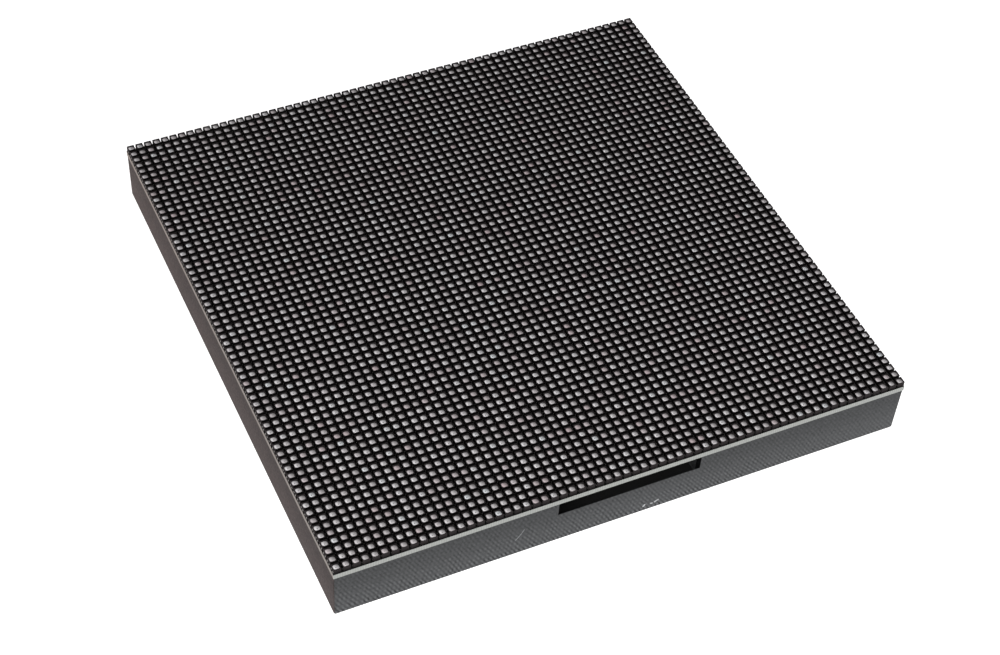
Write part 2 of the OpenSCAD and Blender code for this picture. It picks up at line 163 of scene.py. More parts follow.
class FinishColours(bpy.types.PropertyGroup):
    """Base colours of the finishes"""

    lamp_black: colour("Lamp black", "Moulded body of a lamp", (0.0042, 0.0036, 0.0037))
    window: colour("Lamp window", "Milky resin over the lamp's dies", (0.62, 0.594, 0.602))
    mask: colour("Solder mask", "Lacquer on the board's lamp side", (0.006, 0.0065, 0.006))
    back_mask: colour("Back solder mask", "Lacquer on the board's back", (0.012, 0.0125, 0.013))
    trace: colour("Traces", "Lacquer over the copper of the board's back", (0.026, 0.027, 0.028))
    laminate: colour("Laminate", "Cut edge of the board", (0.335, 0.343, 0.327))
    # Painted warm light on the board's left cut edge
    laminate_left_painted_light: colour("Laminate side", "Cut edge of the board at its left", (0.375, 0.345, 0.325))
    frame: colour("Frame plastic", "Moulding that carries the board", (0.074, 0.0755, 0.0775))
    # Painted warm light: the left wall's own copy of the frame colour
    frame_left_painted_light: colour("Frame side", "The same moulding in its left wall", (0.0755, 0.0612, 0.06))
    scuff: colour("Scuffs", "Scratches and nicks in the frame's front wall", (0.5, 0.51, 0.52))
    tin: colour("Tinned metal", "Solder, leads and contacts", (0.62, 0.61, 0.58))
    # Tin darkened for dullness and as painted shade, as the leads sit low between the lamps
    dull_tin_and_shade: colour("Dull tin", "Leads of the lamps", (0.24, 0.23, 0.22))
    gold: colour("Gold plating", "Contacts of the data connectors", (0.78, 0.56, 0.22))
    brass: colour("Brass", "Threaded inserts", (0.72, 0.5, 0.2))
    steel: colour("Plated steel", "Screws and soldered nuts", (0.56, 0.56, 0.55))
    aluminium: colour("Aluminium", "Cans of the bulk capacitors", (0.72, 0.73, 0.74))
    epoxy: colour("Chip epoxy", "Moulded bodies of the chips", (0.02, 0.02, 0.021))
    black_plastic: colour("Black plastic", "Shrouds of the data connectors", (0.012, 0.012, 0.013))
    white_plastic: colour("White plastic", "Body of the power connector", (0.7, 0.68, 0.61))
    ceramic: colour("Ceramic", "Bodies of the small capacitors", (0.36, 0.25, 0.14))
    film: colour("Resistor film", "Dark coat of the resistors", (0.012, 0.012, 0.014))
    silk: colour("Printed lines", "White outlines printed on the board's back", (0.62, 0.62, 0.6))


class StageSettings(bpy.types.PropertyGroup):
    """Floor, light and camera"""

    camera_at: place("Camera place", "Where the camera stands", (-0.18784, -0.36415, 0.43331))
    camera_to: place("Camera target", "Point that the camera looks at", (-0.01041, -0.02272, 0.0181))
    camera_roll: bpy.props.FloatProperty(
        name="Camera roll", description="Turn of the camera about its own line of sight",
        default=math.radians(4.148), subtype="ANGLE",
    )
    lens: bpy.props.FloatProperty(name="Lens", description="Focal length, mm", default=77.319, min=1)
    key_at: place("Key light place", "Where the main light stands, behind at the right", (0.6, 0.3, 0.38))
    key_power: watts("Key light power", "Power of the main light", 2.0)
    key_side: length("Key light side", "Side of the main light", 0.3)
    near_at: place("Near light place", "Where the light beside the camera stands", (-0.24, -0.34, 0.36))
    near_power: watts("Near light power", "Power of the light beside the camera", 1.9)
    near_side: length("Near light side", "Side of the light beside the camera", 0.25)
    low_at: place("Low light place", "Where the low light at the front stands", (0.38, -0.45, 0.2))
    low_power: watts("Low light power", "Power of the low light", 1.6)
    low_side: length("Low light side", "Side of the low light", 0.25)
    side_at: place("Side light place", "Where the warm light at the left stands", (-0.27, 0.22, 0.06))
    side_power: watts("Side light power", "Power of the warm light", 0.2)
    side_side: length("Side light side", "Side of the warm light", 0.08)
    warm: colour("Side light", "Colour of the warm light", (1.0, 0.77, 0.71))
    floor_side: length("Floor side", "Side of the square floor", 8)
    floor_gap: length("Floor gap", "Room between the floor and the frame's back", 0.05 * MM)
    paper: colour("Floor", "Paper that the module lies on", (0.8, 0.8, 0.8))
    # A dark colour for the floor under the module: painted shadow
    under: colour("Floor underneath", "The floor that the module covers", (0.015, 0.015, 0.015))
    sky: colour("Sky", "Soft light from all round", (0.2, 0.202, 0.205))


# Modelling by hand, in code


def only(obj):
    """Selects obj alone and makes it the active object."""
    bpy.ops.object.select_all(action="DESELECT")
    obj.select_set(True)
    bpy.context.view_layer.objects.active = obj


@contextmanager
def editing(obj):
    """Edit mode on obj, with nothing selected to begin with."""
    only(obj)
    bpy.ops.object.mode_set(mode="EDIT")
    bpy.ops.mesh.select_all(action="DESELECT")
    yield
    bpy.ops.object.mode_set(mode="OBJECT")


def pick_faces(obj, test):
    """Selects the faces whose middle and normal pass the test."""
    bpy.ops.mesh.select_mode(type="FACE")
    bpy.ops.mesh.select_all(action="DESELECT")
    mesh = bmesh.from_edit_mesh(obj.data)
    for face in mesh.faces:
        if test(face.calc_center_median(), face.normal):
            face.select_set(True)
    bmesh.update_edit_mesh(obj.data)


def pick_edges(obj, test):
    """Selects the edges whose middle and direction pass the test."""
    bpy.ops.mesh.select_mode(type="EDGE")
    bpy.ops.mesh.select_all(action="DESELECT")
    mesh = bmesh.from_edit_mesh(obj.data)
    for edge in mesh.edges:
        ends = [v.co for v in edge.verts]
        if test((ends[0] + ends[1]) / 2, (ends[1] - ends[0]).normalized()):
            edge.select_set(True)
    bmesh.update_edit_mesh(obj.data)


def raise_picked(offset):
    bpy.ops.transform.translate(value=offset)


def extrude_picked(offset):
    bpy.ops.mesh.extrude_region_move(TRANSFORM_OT_translate={"value": offset})


def bevel_picked(offset, segments=1):
    bpy.ops.mesh.bevel(offset=offset, segments=segments, affect="EDGES")


def settle(obj):
    """Puts the object's place, turn and scale into its mesh."""
    only(obj)
    bpy.ops.object.transform_apply(location=True, rotation=True, scale=True)


def new_block(name, size, centre):
    bpy.ops.object.select_all(action="DESELECT")
    bpy.ops.mesh.primitive_cube_add(size=1, location=centre, scale=size)
    obj = bpy.context.active_object
    obj.name = obj.data.name = name
    settle(obj)
    return obj


def copy_of(obj, name, offset=(0, 0, 0)):
    """A copy with its own mesh, moved by offset."""
    twin = obj.copy()
    twin.data = obj.data.copy()
    twin.name = twin.data.name = name
    bpy.context.scene.collection.objects.link(twin)
    twin.location = offset
    settle(twin)
    return twin


def modify(obj, kind, **settings):
    """Adds a modifier and leaves it live."""
    modifier = obj.modifiers.new(kind.title(), kind)
    for key, value in settings.items():
        setattr(modifier, key, value)
    return modifier


def apply_modifier(obj, kind, **settings):
    only(obj)
    bpy.ops.object.modifier_apply(modifier=modify(obj, kind, **settings).name)


def repeat(obj, step, count):
    apply_modifier(
        obj, "ARRAY", count=count, use_relative_offset=False,
        use_constant_offset=True, constant_offset_displace=step,
    )


def smooth(obj, angle=40):
    only(obj)
    bpy.ops.object.shade_smooth_by_angle(angle=math.radians(angle))


def hand_over(obj, finish, slot, *nodes):
    """The finished piece: its material and the CAD nodes that it stands for; slot is not used."""
    obj.data.materials.clear()
    obj.data.materials.append(finish)
    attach(obj, "root")
    if nodes:
        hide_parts(*nodes)


def dress(finish, *names, edge=0, segments=2):
    """Gives CAD nodes their material and, where edge is set, softens their sharp edges."""
    for name in names:
        obj = NODES[name]
        obj.data.materials.clear()
        obj.data.materials.append(finish)
        if edge:
            modify(obj, "WELD", merge_threshold=0.002 * MM)
            modify(
                obj, "BEVEL", width=edge, segments=segments,
                limit_method="ANGLE", angle_limit=math.radians(38),
            )


def numbered(name, count):
    return [f"{name}_{i + 1:02d}" for i in range(count)]


# Materials


class Socket:
    """A shader socket, so that sums on it can be written as Python expressions."""

    def __init__(self, shading, out):
        self.shading, self.out = shading, out

    def math(self, operation, *values):
        return self.shading.node("ShaderNodeMath", {"operation": operation}, dict(enumerate(values)))

    def __add__(self, other):
        return self.math("ADD", self, other)

    def __sub__(self, other):
        return self.math("SUBTRACT", self, other)

    def __rsub__(self, other):
        return self.math("SUBTRACT", other, self)

    def __mul__(self, other):
        return self.math("MULTIPLY", self, other)

    def __truediv__(self, other):
        return self.math("DIVIDE", self, other)

    def __lt__(self, other):
        return self.math("LESS_THAN", self, other)

    def __gt__(self, other):
        return self.math("GREATER_THAN", self, other)

    def __or__(self, other):
        return self.math("MAXIMUM", self, other)

    def __and__(self, other):
        return self.math("MINIMUM", self, other)

    def __abs__(self):
        return self.math("ABSOLUTE", self)

    __radd__ = __add__
    __rmul__ = __mul__

    def wave(self):
        """Cosine of a phase counted in turns."""
        return self.math("COSINE", self * math.tau)

    def between(self, low, high):
        """1 from low to high, else 0."""
        return (self > low) & (self < high)

    def teeth(self, pitch):
        """Distance to the nearest of a row of places, the first of them half a pitch from zero."""
        turns = self / pitch
        return abs(turns.math("FRACT", turns) - 0.5) * pitch

    def ramp(self, low, high, bottom=0.0, top=1.0):
        """Eases from bottom at low to top at high."""
        return self.shading.node(
            "ShaderNodeMapRange", {"interpolation_type": "SMOOTHSTEP"},
            {"Value": self, "From Min": low, "From Max": high, "To Min": bottom, "To Max": top},
        )


class Shading:
    """A tree of shader nodes being put together, for a material or for the world."""

    def __init__(self, tree):
        self.tree = tree

    def node(self, kind, settings=None, inputs=None, out=0):
        """A node of any type: its settings first, then the values or links of its sockets."""
        made = self.tree.nodes.new(kind)
        for key, value in (settings or {}).items():
            setattr(made, key, value)
        for key, value in (inputs or {}).items():
            if isinstance(value, Socket):
                self.tree.links.new(value.out, made.inputs[key])
            else:
                made.inputs[key].default_value = value
        return Socket(self, made.outputs[out])

    def axes(self, vector):
        return [self.node("ShaderNodeSeparateXYZ", None, {0: vector}, out) for out in range(3)]

    def where(self):
        """The point's x, y and z in millimetres."""
        return [axis / MM for axis in self.axes(self.node("ShaderNodeTexCoord", out="Object"))]

    def facing(self):
        """The x, y and z of the surface's direction."""
        return self.axes(self.node("ShaderNodeTexCoord", out="Normal"))

    def vector(self, x, y, z=0.0):
        return self.node("ShaderNodeCombineXYZ", None, {0: x, 1: y, 2: z})

    def noise(self, vector, scale, detail=2.0, roughness=0.5):
        return self.node(
            "ShaderNodeTexNoise", None,
            {"Vector": vector, "Scale": scale, "Detail": detail, "Roughness": roughness},
        )

    def chance(self, vector):
        """A number drawn for each whole-numbered vector."""
        return self.node("ShaderNodeTexWhiteNoise", {"noise_dimensions": "3D"}, {"Vector": vector})

    def mix(self, factor, first, second):
        """A colour between two."""
        first, second = ((*c, 1) if not isinstance(c, Socket) else c for c in (first, second))
        return self.node("ShaderNodeMix", {"data_type": "RGBA"}, {0: factor, 6: first, 7: second}, out=2)

    def scaled(self, tint, amount):
        """A colour made lighter or darker by a number."""
        tint = tint if isinstance(tint, Socket) else tuple(tint)
        return self.node("ShaderNodeVectorMath", {"operation": "SCALE"}, {0: tint, "Scale": amount})

    def scratch(self, u, v, start, end, width):
        """1 on the line from start to end, fading to 0 at width from it; u and v are the point's place."""
        run, rise = end[0] - start[0], end[1] - start[1]
        share = ((u - start[0]) * run + (v - start[1]) * rise) / (run * run + rise * rise)
        share = (share | 0.0) & 1.0
        return self.length(u - start[0] - share * run, v - start[1] - share * rise).ramp(width, width * 0.3)

    def length(self, u, v):
        return self.node("ShaderNodeVectorMath", {"operation": "LENGTH"}, {0: self.vector(u, v)}, 1)


class Finish(Shading):
    """A material being mixed: its nodes and the shader that they feed."""

    def __init__(self, name, constants=None):
        self.material = bpy.data.materials.new(name)
        self.material.use_nodes = True
        super().__init__(self.material.node_tree)
        self.shader = self.tree.nodes["Principled BSDF"]
        for socket, value in (constants or {}).items():
            self.shader.inputs[socket].default_value = value

    def feed(self, **links):
        """Links base_color, roughness and the like of the shader."""
        for key, value in links.items():
            self.tree.links.new(value.out, self.shader.inputs[key.replace("_", " ").title()])

    def bump(self, height, depth):
        """Bumps the surface by height, where 1 stands depth metres proud."""
        self.feed(normal=self.node("ShaderNodeBump", None, {"Height": height, "Distance": depth}))


def outermost_painted_light(x, y):
    """1 on the outward faces of the lamps along the board's edges, which are given painted light, as no
    other lamp shades them.
    """
    return (abs(x) | abs(y)) > CAD_BOX[1].x / MM - 0.4


def lamp_tin_finish(colours):
    """Tin, darker towards the foot; the leads along the board's edges are made brighter, a painted light,
    as no lamp shades them.
    """
    finish = Finish("lamp_tin", {"Metallic": 1.0})
    x, y, z = finish.where()
    grain = finish.noise(finish.vector(x, y, z), 6.0, 3.0)
    bend = BOARD_TOP + 0.35
    # Painted light on the leads along the board's edges; darker towards the foot
    level = (grain * 0.4 + 0.75 + outermost_painted_light(x, y) * 0.6) * z.ramp(bend, bend + 0.3, 0.1, 1.0)
    finish.feed(base_color=finish.scaled(colours.dull_tin_and_shade, level), roughness=grain * 0.25 + 0.43)
    return finish.material


def lamp_black_finish(colours, lamps):
    """Matt black, paler inside the cup, and paler on the rim's top: resin dust, and painted light from
    above. The outward faces of the lamps along the board's edges carry painted light.
    """
    finish = Finish("lamp_black", {"Specular IOR Level": 0.02})
    x, y, z = finish.where()
    _, _, up = finish.facing()
    pitch = lamps.pitch / MM
    cup = (lamps.side / 2 - lamps.rim) / MM
    inside = (x.teeth(pitch) | y.teeth(pitch)) < cup + 0.06
    grain = finish.noise(finish.vector(x, y, z), 9.0)
    # Paler inside the cup, and on the rim's top: resin dust, and painted light from above
    level = (grain * 0.7 + 0.65) * ((up > 0.5) * 1.5 + inside * 3.5 + 0.7)
    # Painted light on the outward faces of the lamps along the board's edges, stronger towards the top
    level = level + outermost_painted_light(x, y) * z.ramp(BOARD_TOP, BOARD_TOP + 1.4, 1.0, 5.5)
    finish.feed(base_color=finish.scaled(colours.lamp_black, level), roughness=grain * 0.2 + 0.6)
    return finish.material


def lamp_window_finish(colours, lamps):
    """Milky resin over dark dies, drawn anew for each lamp, with painted shade in the corners and at the
    rear right, as from the cup's walls.
    """
    finish = Finish("lamp_window", {"Specular IOR Level": 0.3, "Roughness": 0.45})
    x, y, z = finish.where()
    pitch = lamps.pitch / MM
    cell_x, cell_y = x / pitch, y / pitch
    column, row = cell_x.math("FLOOR", cell_x), cell_y.math("FLOOR", cell_y)
    drawn = finish.chance(finish.vector(column, row))
    drawn_again = finish.chance(finish.vector(column, row, 7.0))
    tint = finish.mix(drawn_again, (0.9, 0.3, 0.36), (0.34, 0.6, 0.66))
    u, v = (cell_x - column - 0.5) * pitch, (cell_y - row - 0.5) * pitch
    shift = (drawn - 0.5) * 0.16
    dies = finish.length(u + shift, v - shift).ramp(0.27, 0.1) * (drawn_again * 0.55 + 0.12)
    # Painted shade: darker in the window's corners and towards the rear right, where the cup's walls would
    # shade it
    corner_painted_shade = finish.length(u, v).ramp(0.68, 1.02, 1.0, 0.35)
    shade = (u * 0.75 + v * 0.66).ramp(-0.5, 0.9, 1.28, 0.36)
    level = (1 - dies) * (drawn_again * 0.46 + 0.77) * corner_painted_shade * shade
    pale = finish.mix(drawn.math("POWER", drawn, 4.0) * 0.16 + 0.02, colours.window, tint)
    finish.feed(base_color=finish.scaled(pale, level))
    return finish.material


def metal_finish(name, tint, roughness, grain_scale=6.0):
    finish = Finish(name, {"Metallic": 1.0})
    x, y, z = finish.where()
    grain = finish.noise(finish.vector(x, y, z), grain_scale, 3.0)
    finish.feed(
        base_color=finish.scaled(tint, grain * 0.4 + 0.75), roughness=grain * 0.25 + (roughness - 0.12),
    )
    return finish.material


def moulded_finish(name, tint, roughness, grain_scale=5.0):
    finish = Finish(name, {"Specular IOR Level": 0.4})
    x, y, z = finish.where()
    grain = finish.noise(finish.vector(x, y, z), grain_scale, 3.0)
    finish.feed(
        base_color=finish.scaled(tint, grain * 0.4 + 0.8), roughness=grain * 0.2 + (roughness - 0.1),
    )
    finish.bump(grain, 0.02 * MM)
    return finish.material


def driver_place(x, y):
    """The point's place beside its nearest driver chip, along the row and across; far off past the last."""
    turns = x / DRIVER_STEP
    along = (turns.math("FRACT", turns) - 0.5) * DRIVER_STEP + (abs(x) > DRIVER_STEP * 3) * 99
    return along, abs(abs(y) - DRIVER_ROWS[0]) - DRIVER_ROWS[1]


def array_place(x, y):
    """The point's place beside its nearest resistor array."""
    return abs(x) - ARRAY_AT[0], abs(abs(y) - ARRAY_AT[1]) - ARRAY_APART


def back_places(x, y):
    """Folds the point to its place about each kind of part on the board's back."""
    return {
        "driver": driver_place(x, y),
        "scan": (abs(x) - SCAN_AT[0], abs(y) - SCAN_AT[1]),
        "buffer": (x - BUFFER_AT[0], abs(y) - BUFFER_AT[1]),
        "array": array_place(x, y),
        "header": (abs(x) - HEADER_AT, y),
        "power": (x, y - POWER_AT),
        "can": (abs(x) - CAN_AT[0], abs(y) - CAN_AT[1]),
    }


def any_of(masks):
    found = masks[0]
    for mask in masks[1:]:
        found = found | mask
    return found


def back_pads(finish, x, y, at):
    """Tinned pads under the feet of every part on the board's back."""
    along, across = at["driver"]
    pads = [
        abs(across).between(2.1, 3.3) & (along.teeth(DRIVER_PITCH) < 0.17) & (abs(along) < DRIVER_RUN),
        (abs(abs(along) - 6.125) < 0.55) & abs(across).between(0.35, 1.15),
        y.between(-6.5, -4.2) & (x.teeth(POWER_PITCH) < 0.9) & (abs(x) < POWER_PITCH * 2),
    ]
    for screw_x, screw_y in SCREWS_AT:
        pads.append(finish.length(abs(x) - screw_x, abs(y) - screw_y) < 3.6)
    # Each part's pads: their reach from its middle line, pitch, half width, and how far a row runs
    for name, reach, pitch, half, run in (
        ("scan", (2.1, 3.4), 1.27, 0.3, 5.08),
        ("buffer", (2.4, 3.4), 0.65, 0.17, 3.25),
        ("array", (0.55, 1.05), ARRAY_PITCH, 0.22, 1.6),
        ("header", (4.3, 6.2), 2.54, 0.5, 10.16),
    ):
        u, v = at[name]
        pads.append(abs(u).between(*reach) & (v.teeth(pitch) < half) & (abs(v) < run))
    u, v = at["can"]
    pads.append(abs(u).between(3.1, 4.3) & (abs(v) < 0.8))
    return any_of(pads)


def back_lines(at):
    """Plain outlines printed round the parts on the board's back, at their half lengths and widths."""
    lines = []
    for name, half_u, half_v in (
        ("driver", 4.75, 3.75), ("scan", 3.9, 5.5), ("buffer", 3.68, 3.7),
        ("header", 6.5, 14.5), ("power", 8.5, 6.2), ("can", 4.7, 4.0),
    ):
        u, v = at[name]
        lines.append(abs((abs(u) - half_u) | (abs(v) - half_v)) < 0.09)
    return any_of(lines)


def back_traces(finish, x, y, at):
    """Copper under the lacquer, from the driver chips and between their rows, and a hole for each lamp."""
    along, across = at["driver"]
    runs = abs(across).between(3.3, 9.4) & (along.teeth(DRIVER_PITCH) < 0.1) & (abs(along) < DRIVER_RUN)
    buses = abs(across).between(9.4, 12.9) & (across.teeth(0.58) < 0.13)
    links = (abs(x) < 56) & abs(y).between(0.6, 2.4) & (y.teeth(0.6) < 0.12)
    hole = finish.length(x.teeth(HOLE_PITCH) - HOLE_PITCH / 2, y.teeth(HOLE_PITCH) - HOLE_PITCH / 4)
    return any_of([runs, buses, links, hole < 0.26]), hole < 0.12


def board_finish(colours):
    """Black lacquer on the faces, pale glass laminate on the cut edges, with painted warm light on the left
    one, and the circuit on the back.
    """
    finish = Finish("board", {"Specular IOR Level": 0.08, "Coat Roughness": 0.25})
    x, y, z = finish.where()
    side, _, up = finish.facing()
    back = up < -0.6
    at = back_places(x, y)
    pads = back_pads(finish, x, y, at) * back
    traces, holes = back_traces(finish, x, y, at)
    grain = finish.noise(finish.vector(x, y, z), 3.0, 3.0)
    lacquer = finish.mix(traces & (1 - holes), colours.back_mask, colours.trace)
    lacquer = finish.mix(back_lines(at), finish.scaled(lacquer, grain * 0.5 + 0.75), colours.silk)
    lacquer = finish.mix(back, colours.mask, lacquer)
    fibres = finish.noise(finish.vector(x + y, x - y, z * 6.0), 1.6, 3.0, 0.6)
    weave = ((x + y) / 0.66).wave() * fibres
    cut = 1 - abs(up).ramp(0.4, 0.6)
    # The left cut edge is darker towards its bottom, and takes a warmer colour: painted warm light
    left = (side < -0.5) * z.ramp(BOARD_BACK + 0.8, BOARD_BACK + 0.1, 1.0, 0.7)
    laminate = finish.mix(side < -0.5, colours.laminate, colours.laminate_left_painted_light)
    laminate = finish.scaled(laminate, (fibres * 0.4 + weave * 0.16 + 0.8) * (left + (side > -0.5)))
    tinned = finish.mix(pads, lacquer, finish.scaled(colours.tin, grain * 0.4 + 0.75))
    finish.feed(
        base_color=finish.mix(cut, tinned, laminate), metallic=pads,
        roughness=cut * 0.3 + 0.45 - pads * 0.1, coat_weight=back * (1 - pads) * 0.25,
    )
    finish.bump((traces & (1 - holes)) * back, 0.03 * MM)
    return finish.material


def small_part_finish(name, tint, colours, ends):
    """A small chip part: a moulded or coated body between tinned ends."""
    finish = Finish(name, {"Specular IOR Level": 0.4})
    x, y, z = finish.where()
    grain = finish.noise(finish.vector(x, y, z), 7.0, 3.0)
    capped = ends(x, y)
    finish.feed(
        base_color=finish.scaled(finish.mix(capped, tint, colours.tin), grain * 0.4 + 0.8),
        metallic=capped, roughness=grain * 0.2 + 0.32,
    )
    return finish.material


def driver_ends(x, y):
    return abs(driver_place(x, y)[1]) > 0.5


def array_ends(x, y):
    along, across = array_place(x, y)
    return (abs(along) > 0.52) & (across.teeth(ARRAY_PITCH) < 0.24)


def brass_finish(colours):
    """Brass with the turns of the thread in the bore."""
    finish = Finish("brass", {"Metallic": 1.0})
    x, y, z = finish.where()
    _, _, up = finish.facing()
    grain = finish.noise(finish.vector(x, y, z), 6.0, 3.0)
    finish.feed(base_color=finish.scaled(colours.brass, grain * 0.4 + 0.75), roughness=grain * 0.25 + 0.22)
    finish.bump((z / 0.5).wave() * (abs(up) < 0.5), 0.12 * MM)
    return finish.material


def can_finish(colours):
    """Drawn aluminium can; a plain dark half-moon on its top shows the negative side."""
    finish = Finish("can_aluminium")
    x, y, z = finish.where()
    _, _, up = finish.facing()
    dark = (up < -0.9) * (abs(x) > CAN_AT[0] + 0.9)
    drawn = finish.noise(finish.vector(x, y, z * 0.15), 5.0, 3.0)
    finish.feed(
        base_color=finish.mix(dark, finish.scaled(colours.aluminium, drawn * 0.4 + 0.75), colours.film),
        metallic=1 - dark, roughness=drawn * 0.25 + 0.22 + dark * 0.2,
    )
    return finish.material


def frame_finish(colours):
    """Dark grey moulding; its notched walls carry the mould's fine slanting grain, scuffed in front.
    Painted light makes it lighter towards the bottom and warmer on the left wall; painted shade darkens the
    notch's end faces.
    """
    finish = Finish("frame_plastic", {"Specular IOR Level": 0.03})
    x, y, z = finish.where()
    flank, side, _ = finish.facing()
    flank = abs(flank).ramp(0.5, 0.8)
    point = finish.vector(x, y, z)
    # The left wall takes a warmer, darker copy of the colour: painted warm light
    left = flank * (x < FRAME_LOW.x / MM + 2)
    # Painted shade on the end faces of the notch
    notch_end_painted_shade = flank * (abs(abs(x) - NOTCH_END) < 0.6)
    tone = finish.mix(left, colours.frame, colours.frame_left_painted_light)
    grain = finish.noise(point, 1.3, 4.0, 0.7)
    mottle = finish.noise(point, 1.9, 2.0, 0.6)
    broken = finish.noise(point, 0.5, 1.0).ramp(0.3, 0.65, 0.35, 1.3)
    drift = finish.noise(point, 0.07, 1.0) * 1.5
    slant = x * 0.86 + z * (x * 0.0015 + 0.565) + drift
    upright = x * 0.83 - z * 0.13 + drift
    streaks = slant.wave() + upright.wave() * 0.4 + (slant - upright).wave() * 0.18
    streaks = streaks * broken * abs(side).ramp(0.5, 0.8) * (abs(y) > FRAME_HIGH.y / MM - 1)
    streaks = streaks * (z.ramp(13.0, 3.0, 0.42, 1.1) + z.ramp(3.4, 1.2, 0.0, 0.9))
    streaks = streaks * x.ramp(30, 72, 1.0, 0.5)
    level = streaks * 0.26 + (grain - 0.5) * 1.1 + (mottle - 0.5) * flank * 1.7
    # Painted light from the floor: lighter towards the bottom; painted shade on the notch's end faces
    level = (level + z.ramp(14.5, 1.0, 0.8, 1.2)) * (1 - notch_end_painted_shade * 0.92)
    faint = any_of([finish.scratch(x, z, *mark) for mark in FAINT_SCRATCHES])
    marks = faint * 0.45 | any_of([finish.scratch(x, z, *mark) for mark in NICKS])
    marks = marks * (side < -0.7) * (y < FRAME_LOW.y / MM + 1) * grain.ramp(0.3, 0.5, 0.4, 1.0)
    finish.feed(
        base_color=finish.mix(marks, finish.scaled(tone, level), colours.scuff),
        roughness=(grain - 0.5) * 0.3 + 0.6 - streaks * 0.05,
    )
    finish.bump(streaks * 0.5 + grain * 0.5, 0.03 * MM)
    return finish.material


# Pieces


class DISPLAY_OT_lamp_bodies(bpy.types.Operator):
    """Black lamp bodies with a cup for the window, one for each place of the matrix"""

    bl_idname = "display.lamp_bodies"
    bl_label = "Lamp Bodies"

    def execute(self, context):
        lamps = context.scene.display_lamps
        body = new_block("lamp_body", (lamps.side, lamps.side, lamps.height), (0, 0, lamps.height / 2))
        cup = lamps.side / 2 - lamps.rim
        with editing(body):
            pick_faces(body, lambda middle, normal: normal.z > 0.5)
            bpy.ops.mesh.inset(thickness=lamps.rim)
            extrude_picked((0, 0, -lamps.recess))
            pick_edges(body, lambda middle, way: abs(way.z) > 0.9 and abs(middle.x) < cup * 1.01)
            bevel_picked(lamps.cup_corner, 2)
            pick_edges(body, lambda middle, way: abs(way.z) > 0.9 and abs(middle.x) > lamps.side * 0.49)
            bevel_picked(lamps.body_corner)
        finish = lamp_black_finish(context.scene.display_colours, lamps)
        spread_lamps(context, body, "lamp_bodies", finish, "lamp_body", "edge_lamps", "lamp_rows")
        return {"FINISHED"}


class DISPLAY_OT_lamp_windows(bpy.types.Operator):
    """Milky windows in the lamps' cups, hollow in the middle where the resin has sunk"""

    bl_idname = "display.lamp_windows"
    bl_label = "Lamp Windows"

    def execute(self, context):
        lamps = context.scene.display_lamps
        wide = lamps.side - 2 * (lamps.rim + lamps.window_play)
        edge = lamps.height - lamps.window_below
        thick = lamps.recess - lamps.window_below - lamps.window_play
        window = new_block("lamp_window", (wide, wide, thick), (0, 0, edge - thick / 2))
        with editing(window):
            pick_edges(window, lambda middle, way: abs(way.z) > 0.9)
            bevel_picked(lamps.cup_corner, 2)
            for outer, inner in zip(HOLLOW_RINGS, HOLLOW_RINGS[1:]):
                pick_faces(window, lambda middle, normal: normal.z > 0.9 and middle.xy.length < 0.01 * MM)
                bpy.ops.mesh.inset(thickness=wide / 2 * (outer - inner))
                raise_picked((0, 0, -lamps.hollow * (outer**2 - inner**2) / (1 - HOLLOW_RINGS[-1] ** 2)))
        smooth(window)
        finish = lamp_window_finish(context.scene.display_colours, lamps)
        spread_lamps(context, window, "lamp_windows", finish, "lamp_window")
        return {"FINISHED"}


class DISPLAY_OT_lamp_leads(bpy.types.Operator):
    """Four soldered leads up the sides of each lamp, sloped like a fillet of solder"""

    bl_idname = "display.lamp_leads"
    bl_label = "Lamp Leads"

    def execute(self, context):
        lamps = context.scene.display_lamps
        middle_x = lamps.side / 2 + lamps.lead_out / 2
        middle_z = lamps.lead_high / 2
        lead = new_block(
            "lamp_lead", (lamps.lead_out, lamps.lead_wide, lamps.lead_high),
            (middle_x, -lamps.lead_apart / 2, middle_z),
        )

        def outer_top(middle, way):
            return abs(way.y) > 0.9 and middle.x > middle_x and middle.z > middle_z

        with editing(lead):
            pick_edges(lead, outer_top)
            raise_picked((-lamps.lead_out * 0.7, 0, 0))
        repeat(lead, (0, lamps.lead_apart, 0), 2)
        apply_modifier(lead, "MIRROR", use_axis=(True, False, False))
        finish = lamp_tin_finish(context.scene.display_colours)
        spread_lamps(context, lead, "lamp_leads", finish, "contact_tin")
        return {"FINISHED"}


def spread_lamps(context, unit, name, finish, slot, *nodes):
    """Repeats one lamp's part over a quarter of the matrix, and copies the quarter to the other three."""
    lamps = context.scene.display_lamps
    pitch, count = lamps.pitch, lamps.quarter
    unit.location = (-pitch * (count - 0.5), -pitch * (count - 0.5), BOARD_HIGH.z)
    settle(unit)
    repeat(unit, (pitch, 0, 0), count)
    repeat(unit, (0, pitch, 0), count)
    unit.name = unit.data.name = f"{name}_front_left"
    step = pitch * count
    quarters = [
        unit,
        copy_of(unit, f"{name}_front_right", (step, 0, 0)),
        copy_of(unit, f"{name}_rear_left", (0, step, 0)),
        copy_of(unit, f"{name}_rear_right", (step, step, 0)),
    ]
    for quarter in quarters:
        hand_over(quarter, finish, slot, *nodes)


class DISPLAY_OT_board(bpy.types.Operator):
    """Lacquered circuit board with a pale cut edge"""

    bl_idname = "display.board"
    bl_label = "Circuit Board"

    def execute(self, context):
        dress(board_finish(context.scene.display_colours), "circuit_board", edge=0.06 * MM)
        return {"FINISHED"}


class DISPLAY_OT_frame(bpy.types.Operator):
    """Moulded frame with softened edges"""

    bl_idname = "display.frame"
    bl_label = "Frame"

    def execute(self, context):
        dress(frame_finish(context.scene.display_colours), "frame", edge=0.25 * MM, segments=3)
        return {"FINISHED"}


